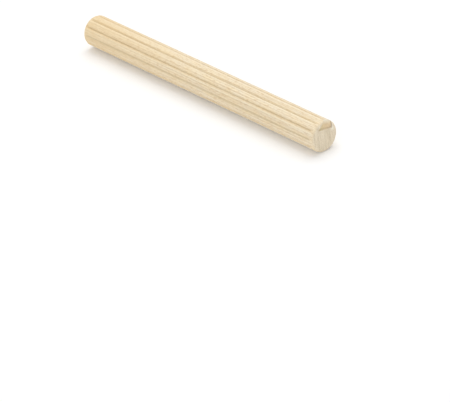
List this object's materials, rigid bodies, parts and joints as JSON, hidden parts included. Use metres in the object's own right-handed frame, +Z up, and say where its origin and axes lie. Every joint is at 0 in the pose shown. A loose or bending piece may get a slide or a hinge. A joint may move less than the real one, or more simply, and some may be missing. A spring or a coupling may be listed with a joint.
{
  "type": "dowel pin",
  "caption": "Straight fluted wooden dowel pin with rounded ends, pressed and glued into matching holes to align and join two wooden pieces.",
  "frame": {"origin": "middle of the pin, on its axis", "axes": "+X along the axis towards the end with the broken rim, +Z up from the surface that the pin lies on"},
  "size_m": [0.1016, 0.0094, 0.0094],
  "materials": {
    "pale_wood": "bare, planed and pressed, matte"
  },
  "bodies": {
    "root": {"dowel_pin": "pale_wood"}
  },
  "joints": []
}
